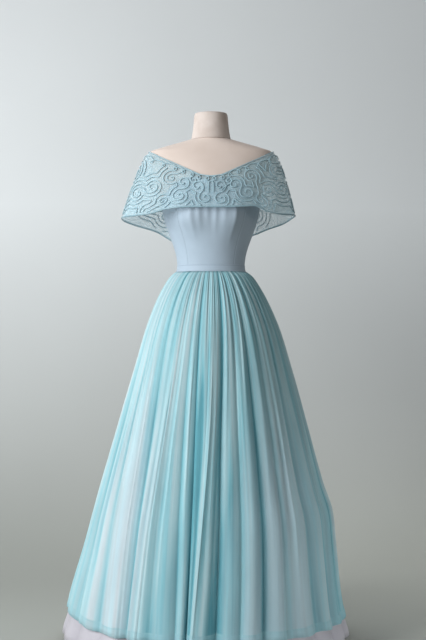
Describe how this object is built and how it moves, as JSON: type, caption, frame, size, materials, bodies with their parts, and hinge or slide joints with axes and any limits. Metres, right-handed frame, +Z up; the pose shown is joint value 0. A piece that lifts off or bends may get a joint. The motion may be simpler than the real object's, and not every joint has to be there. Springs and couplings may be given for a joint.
{
  "type": "a-line evening dress on a dress form",
  "caption": "Full-length evening dress with a gathered chiffon skirt, fitted bodice and corded net cape collar, standing on a limbless dress form",
  "frame": {"origin": "centre of the stand's flat underside, on the axis of the pole, on the floor", "axes": "+Z up along the pole, -Y out of the dress's front, +X towards the right of someone facing the front"},
  "size_m": [0.9126, 0.9127, 1.676],
  "materials": {
    "stand": "satin",
    "form_cover": "smooth jersey cover",
    "form_neck": "painted, matte",
    "crepe": "satin-backed crepe, soft sheen",
    "chiffon": "sheer, matte",
    "underskirt": "taffeta, soft sheen",
    "net": "sheer organza net",
    "soutache": "braided cord, satin"
  },
  "bodies": {
    "root": {"stand_base": "stand", "stand_pole": "stand", "form_torso": "form_cover", "form_neck": "form_neck", "bodice_front": "crepe", "bodice_side_left": "crepe", "bodice_side_right": "crepe", "bodice_back_left": "crepe", "bodice_back_right": "crepe", "back_placket": "crepe", "waistband": "crepe", "chiffon_front": "chiffon", "chiffon_back_left": "chiffon", "chiffon_back_right": "chiffon", "underskirt_front": "underskirt", "underskirt_back": "underskirt", "cape_front": "net", "cape_back_left": "net", "cape_back_right": "net", "soutache_front_1": "soutache", "soutache_front_2": "soutache", "soutache_front_3": "soutache", "soutache_front_4": "soutache", "soutache_left_1": "soutache", "soutache_left_2": "soutache", "soutache_right_1": "soutache", "soutache_right_2": "soutache", "soutache_back_1": "soutache", "soutache_back_2": "soutache"}
  },
  "joints": []
}
